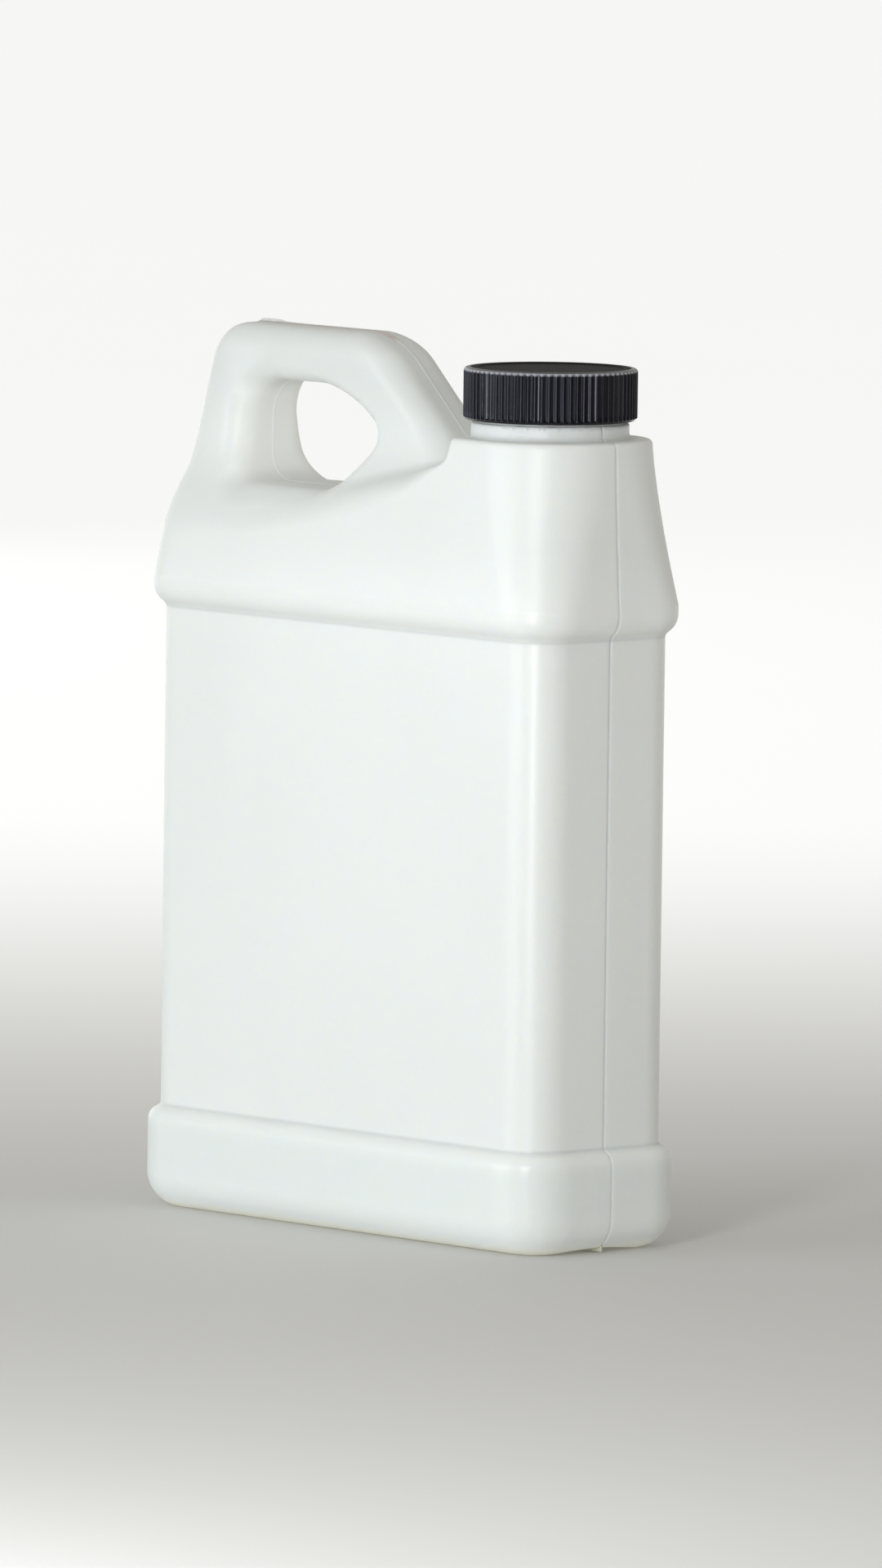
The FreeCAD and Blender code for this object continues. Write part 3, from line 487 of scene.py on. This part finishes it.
# -------------------------------------------------- materials
class Nodes:
    """A short way to write a node tree; an input is a value or another node's output socket."""

    def __init__(self, tree):
        self.tree = tree
        self.place = self.new("TexCoord").outputs["Object"]
        split = self.new("SeparateXYZ", Vector=self.place)
        self.x, self.y, self.z = split.outputs

    def feed(self, socket, value):
        if isinstance(value, bpy.types.NodeSocket):
            self.tree.links.new(value, socket)
        else:
            socket.default_value = value

    def set(self, node, **values):
        for key, value in values.items():
            self.feed(node.inputs[key.replace("_", " ")], value)
        return node

    def new(self, kind, props=None, **values):
        node = self.tree.nodes.new("ShaderNode" + kind)
        for key, value in (props or {}).items():
            setattr(node, key, value)
        return self.set(node, **values)

    def stretched(self, scale):
        return self.new("Mapping", Vector=self.place, Scale=scale).outputs["Vector"]

    def noise(self, scale, stretch=(1, 1, 1), detail=2.0):
        made = self.new("TexNoise", Vector=self.stretched(stretch), Scale=scale, Detail=detail)
        return made.outputs["Fac"]

    def cells(self, scale):
        return self.new("TexVoronoi", Vector=self.stretched((1, 1, 1)), Scale=scale)

    def ramp(self, source, low, high, to_low=0.0, to_high=1.0):
        """A smooth step from to_low where source is low to to_high where it is high."""
        made = self.new("MapRange", {"interpolation_type": "SMOOTHSTEP"}, Value=source)
        values = {"From Min": low, "From Max": high, "To Min": to_low, "To Max": to_high}
        for key, value in values.items():
            made.inputs[key].default_value = value
        return made.outputs["Result"]

    def ramp_mm(self, source, low, high, to_low=0.0, to_high=1.0):
        return self.ramp(source, low * MM, high * MM, to_low, to_high)

    def math(self, operation, *values):
        made = self.new("Math", {"operation": operation})
        for socket, value in zip(made.inputs, values):
            self.feed(socket, value)
        return made.outputs["Value"]

    def both(self, *factors):
        product = factors[0]
        for factor in factors[1:]:
            product = self.math("MULTIPLY", product, factor)
        return product

    def add(self, a, b):
        return self.math("ADD", a, b)

    def vector(self, operation, a, b=None, result="Vector"):
        made = self.new("VectorMath", {"operation": operation})
        self.feed(made.inputs[0], a)
        if b is not None:
            self.feed(made.inputs[1], b)
        return made.outputs[result]

    def mix(self, factor, a, b):
        made = self.new("Mix", {"data_type": "RGBA"})
        for socket, value in ((made.inputs[0], factor), (made.inputs[6], a), (made.inputs[7], b)):
            self.feed(socket, value)
        return made.outputs[2]

    def bump(self, height, distance, strength=1.0, below=None):
        made = self.new("Bump", Height=height, Distance=distance, Strength=strength)
        if below is not None:
            self.feed(made.inputs["Normal"], below)
        return made.outputs["Normal"]


def new_material(name):
    material = bpy.data.materials.new(name)
    material.use_nodes = True
    return material, Nodes(material.node_tree), material.node_tree.nodes["Principled BSDF"]


def grey(level, blue=0.0):
    return (level, level, level + blue, 1)


def tinted(colour, red, green, blue):
    return (colour[0] * red, colour[1] * green, colour[2] * blue, 1)


MILKY = (0.865, 0.885, 0.87, 1)
WAXY = (0.82, 0.78, 0.62, 1)
SPECK = (0.12, 0.10, 0.08, 1)
# painted shade along the parting groove
SEAM_SHADE = (0.46, 0.52, 0.56, 1)
# painted shade in the creases by the beads
CREASE_SHADE = (0.50, 0.53, 0.53, 1)
SCORCHED = (0.56, 0.46, 0.41, 1)
SHINE_THROUGH = (0.94, 0.93, 0.86, 1)


def polyethylene_colour(n, bead):
    """Milky, clouded and specked, seams drawn; painted shade darkens it towards the handle, in the
    parting groove and in the creases.
    """
    cloud = n.ramp(n.noise(16.0, (1, 1, 0.6)), 0.35, 0.65)
    colour = n.mix(cloud, MILKY, tinted(MILKY, 0.975, 0.975, 0.975))
    # painted shade: a little greyer up the shoulder and towards the handle
    top_shade = n.add(n.ramp_mm(n.z, 150, 166, 0.0, 0.35), n.ramp_mm(n.z, 180, 200, 0.0, 0.65))
    colour = n.mix(top_shade, colour, tinted(MILKY, 0.87, 0.87, 0.87))
    colour = n.mix(n.both(bead, 0.55), colour, tinted(MILKY, 0.93, 0.955, 0.955))
    colour = n.mix(n.both(n.ramp_mm(n.z, 2.6, 0.4), 0.6), colour, WAXY)
    # moulding specks, in a few of the cells
    cell = n.cells(80.0)
    speck = n.ramp(cell.outputs["Distance"], 0.026, 0.016)
    pick = n.new("SeparateColor", Color=cell.outputs["Color"])
    chosen = n.ramp(pick.outputs["Red"], 0.80, 0.81)
    colour = n.mix(n.both(speck, chosen), colour, SPECK)
    # painted shade in the parting groove round the body, not along the handle
    off_middle = n.math("ABSOLUTE", n.y)
    on_body = n.math("MAXIMUM", n.ramp_mm(n.x, 30, 36), n.ramp_mm(n.z, 165, 160))
    seam = n.both(n.ramp_mm(off_middle, 0.40, 0.16), on_body, n.ramp_mm(n.z, 20, 30, 0.05, 0.2))
    colour = n.mix(seam, colour, SEAM_SHADE)
    ridge = n.both(n.ramp_mm(off_middle, 1.6, 0.4), n.ramp_mm(n.z, 206.8, 208.0))
    colour = n.mix(n.both(ridge, 0.6), colour, SCORCHED)
    # painted shade in the creases where the two beads meet the panel
    for level in (BASE_TOP + 0.35, PANEL_TOP - 0.25):
        off = n.math("ABSOLUTE", n.math("SUBTRACT", n.z, level * MM))
        colour = n.mix(n.both(n.ramp_mm(off, 0.5, 0.1), 0.2), colour, CREASE_SHADE)
    return colour


def polyethylene_surface(n, bead):
    """Sunk waves, drawn streaks and fine grain; mottled on the base and the shoulder."""
    wave = n.bump(n.noise(26.0, (1, 1, 0.5), 1.0), 0.6 * MM, 0.35)
    drawn = n.bump(n.noise(1.0, (420, 420, 9)), 0.03 * MM, 0.5, wave)
    grain = n.bump(n.noise(1500.0), 0.01 * MM, 0.5, drawn)
    uneven = n.math("MAXIMUM", bead, n.ramp_mm(n.z, 146, 156, 0.0, 0.5))
    streak = n.both(n.noise(1.0, (260, 260, 60), 3.0), uneven)
    return n.bump(streak, 0.3 * MM, 0.6, grain)


def light_through(n):
    """A faint glow at the foot and on the grip's back wall, for light coming through the wall."""
    foot = n.add(n.ramp_mm(n.z, 12, 4, 0.0, 0.02), n.ramp_mm(n.z, 3.6, 0.3, 0.0, 0.12))
    across = n.both(n.ramp_mm(n.x, -55, -51), n.ramp_mm(n.x, -36, -46))
    level = n.both(n.ramp_mm(n.z, 171, 176), n.ramp_mm(n.z, 197, 192))
    return n.add(foot, n.both(across, level, 0.13))


def polyethylene():
    material, n, shader = new_material("hdpe_wall")
    bead = n.ramp_mm(n.z, 26.2, 20.5)
    rough = n.ramp(n.noise(60.0, (1, 1, 0.4), 3.0), 0.3, 0.7, 0.285, 0.33)
    rough = n.add(rough, n.ramp_mm(n.z, 147, 153, 0.0, 0.09))
    n.set(shader, Base_Color=polyethylene_colour(n, bead), Roughness=rough,
          Normal=polyethylene_surface(n, bead), IOR=1.5, Subsurface_Weight=1.0,
          Subsurface_Radius=(1.0, 0.92, 0.78), Subsurface_Scale=2.8 * MM,
          Emission_Color=SHINE_THROUGH, Emission_Strength=light_through(n))
    return material


def polypropylene():
    material, n, shader = new_material("cap_plastic")
    cloud = n.ramp(n.noise(120.0, detail=3.0), 0.35, 0.65)
    colour = n.mix(cloud, (0.0012, 0.0011, 0.002, 1), (0.003, 0.0027, 0.0045, 1))
    from_axis = n.vector("SUBTRACT", n.place, (NECK_X * MM, 0, 0))
    radius = n.vector("LENGTH", n.vector("MULTIPLY", from_axis, (1, 1, 0)), result="Value")
    # painted highlight: the crests of the ribs are painted a little paler, unevenly, and the rim
    # palest
    crest = n.ramp_mm(radius, CAP_R - 0.09, CAP_R - 0.02)
    crest_glint = n.both(crest, n.ramp(n.noise(300.0, (1, 1, 0.3), 3.0), 0.3, 0.7, 0.75, 1.0))
    colour = n.mix(crest_glint, colour, grey(0.036, 0.01))
    # painted highlight: the pale band on the rim stands in for its glints
    rim = n.ramp_mm(radius, CAP_R - 0.55, CAP_R - 0.25)
    rim_glint = n.both(rim, n.ramp_mm(n.z, CAP_TOP - 0.95, CAP_TOP - 0.6))
    colour = n.mix(rim_glint, colour, grey(0.36, 0.03))
    # the top inside the rim is dull
    top = n.both(n.ramp_mm(radius, 18.8, 18.5), n.ramp_mm(n.z, 203.0, 203.4))
    rough = n.ramp(n.noise(420.0, (1, 1, 0.5), 3.0), 0.3, 0.7, 0.13, 0.17)
    rough = n.add(rough, n.both(top, 0.5))
    wave = n.bump(n.noise(90.0, (1, 1, 0.6)), 0.2 * MM, 0.25)
    grain = n.bump(n.noise(2600.0), 0.012 * MM, 0.6, wave)
    n.set(shader, Base_Color=colour, Roughness=rough, Normal=grain, IOR=1.5,
          Specular_IOR_Level=0.2, Specular_Tint=(0.84, 0.84, 1.0, 1))
    return material


def foam():
    material, n, shader = new_material("liner_foam")
    pore = n.cells(1400.0).outputs["Distance"]
    colour = n.mix(n.ramp(pore, 0.1, 0.7), (0.80, 0.80, 0.77, 1), (0.72, 0.72, 0.69, 1))
    n.set(shader, Base_Color=colour, Roughness=0.75, Normal=n.bump(pore, 0.08 * MM, 0.6))
    return material


def torn_material(name, dark, pale):
    material, n, shader = new_material(name)
    colour = n.mix(n.ramp(n.noise(900.0, detail=3.0), 0.35, 0.65), dark, pale)
    torn = n.bump(n.noise(2400.0, detail=3.0), 0.05 * MM, 0.6)
    n.set(shader, Base_Color=colour, Roughness=0.5, Normal=torn, Subsurface_Weight=0.8,
          Subsurface_Radius=(1.0, 0.8, 0.6), Subsurface_Scale=3 * MM)
    return material


def dress(material, *pieces):
    for piece in pieces:
        piece.data.materials.clear()
        piece.data.materials.append(material)


dress(polyethylene(), jug, neck)
dress(torn_material("torn_tail", (0.76, 0.70, 0.48, 1), (0.84, 0.80, 0.64, 1)), fin)
dress(torn_material("torn_flash", (0.84, 0.77, 0.70, 1), (0.87, 0.83, 0.78, 1)), flash)
dress(polypropylene(), cap, bore)
dress(foam(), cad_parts["cap_liner"])

# -------------------------------------------------- camera, in metres and radians
CAMERA_TURN, CAMERA_AWAY, CAMERA_HIGH = math.radians(48.75), 4.309, 0.4937
YAW, PITCH, ROLL = math.radians(-0.091), math.radians(5.169), math.radians(0.729)
LENS_MM, SENSOR_MM = 425.07, 36.0

camera = bpy.data.objects.new("camera", bpy.data.cameras.new("camera"))
scene.collection.objects.link(camera)
scene.camera = camera
camera.data.sensor_width = SENSOR_MM
camera.data.lens = LENS_MM
camera.data.clip_start = 0.1
camera.data.clip_end = 50.0
heading = CAMERA_TURN + YAW
level_forward = Vector((-math.sin(heading), math.cos(heading), 0))
forward = level_forward * math.cos(PITCH) - Vector((0, 0, math.sin(PITCH)))
right = forward.cross(Vector((0, 0, 1))).normalized()
up = right.cross(forward)
tilted = right * math.cos(ROLL) + up * math.sin(ROLL)
above = up * math.cos(ROLL) - right * math.sin(ROLL)
turn = Matrix((tilted, above, -forward)).transposed()
stand = Vector((math.sin(CAMERA_TURN), -math.cos(CAMERA_TURN), 0)) * CAMERA_AWAY
stand.z = CAMERA_HIGH
camera.matrix_world = Matrix.Translation(stand) @ turn.to_4x4()


# -------------------------------------------------- floor and light
def floor_material():
    """Pale matt floor that brightens behind the object, and far from it on every side."""
    material, n, shader = new_material("pale_floor")
    behind = n.vector("DOT_PRODUCT", n.place, (-0.748, 0.664, 0), "Value")
    away = n.vector("LENGTH", n.place, result="Value")
    near_glow = n.ramp(behind, -0.1, 1.1, 0.0, 0.62)
    glow = n.math("MAXIMUM", near_glow, n.ramp(away, 1.6, 3.2, 0.0, 0.5))
    colour = n.mix(n.noise(3.0), (0.67, 0.665, 0.65, 1), (0.69, 0.685, 0.67, 1))
    n.set(shader, Base_Color=colour, Roughness=0.85, Emission_Color=(0.965, 0.985, 1.0, 1),
          Emission_Strength=glow)
    return material


def light_the_world():
    """A warm white room, darker on one side; the camera itself sees it plain."""
    world = scene.world or bpy.data.worlds.new("world")
    scene.world = world
    world.use_nodes = True
    n = Nodes(world.node_tree)
    direction = n.new("TexCoord").outputs["Generated"]
    facing = n.vector("DOT_PRODUCT", direction, (0.74, -0.66, 0.1), "Value")
    room = n.set(world.node_tree.nodes["Background"], Color=(1.0, 0.975, 0.91, 1),
                 Strength=n.ramp(facing, 0.6, 0.97, 0.485, 0.10))
    seen = n.new("Background", Color=(1, 1, 1, 1), Strength=0.93)
    choose = n.new("MixShader", Fac=n.new("LightPath").outputs["Is Camera Ray"])
    n.feed(choose.inputs[1], room.outputs[0])
    n.feed(choose.inputs[2], seen.outputs[0])
    n.set(world.node_tree.nodes["World Output"], Surface=choose.outputs[0])


def softbox(name, azimuth, elevation, distance, size, watts, colour):
    """An area light aimed at the object; azimuth 0 is in front (-Y), 90 on the right (+X)."""
    a, e = math.radians(azimuth), math.radians(elevation)
    aim = Vector((math.sin(a) * math.cos(e), -math.cos(a) * math.cos(e), math.sin(e)))
    lamp = bpy.data.objects.new(name, bpy.data.lights.new(name, "AREA"))
    scene.collection.objects.link(lamp)
    lamp.data.shape = "RECTANGLE"
    lamp.data.size, lamp.data.size_y = size
    lamp.data.energy = watts
    lamp.data.color = colour
    lamp.location = aim * distance + Vector((0, 0, 0.1))
    lamp.rotation_mode = "QUATERNION"
    lamp.rotation_quaternion = (-aim).to_track_quat("-Z", "Y")


FLOOR_RADIUS, FLOOR_SIDES = 16.0, 96
bpy.ops.mesh.primitive_circle_add(vertices=FLOOR_SIDES, radius=FLOOR_RADIUS, fill_type="NGON")
floor = bpy.context.object
floor.name = "floor"
dress(floor_material(), floor)

light_the_world()
softbox("wide_key", -22, 8, 2.4, (1.8, 0.9), 16.6, (0.845, 0.935, 1.0))
softbox("side_fill", -108, 6, 2.0, (1.0, 0.8), 2.6, (1, 1, 1))
softbox("narrow_fill", 75, 8, 2.0, (0.6, 0.8), 1.7, (1.0, 0.98, 0.94))
softbox("corner_strip", 33, 9.6, 0.9, (0.15, 0.45), 3.2, (0.95, 0.98, 1.0))
softbox("overhead", 48, 80, 1.6, (0.3, 0.3), 1.1, (1, 1, 1))
scene.view_settings.view_transform = "Standard"
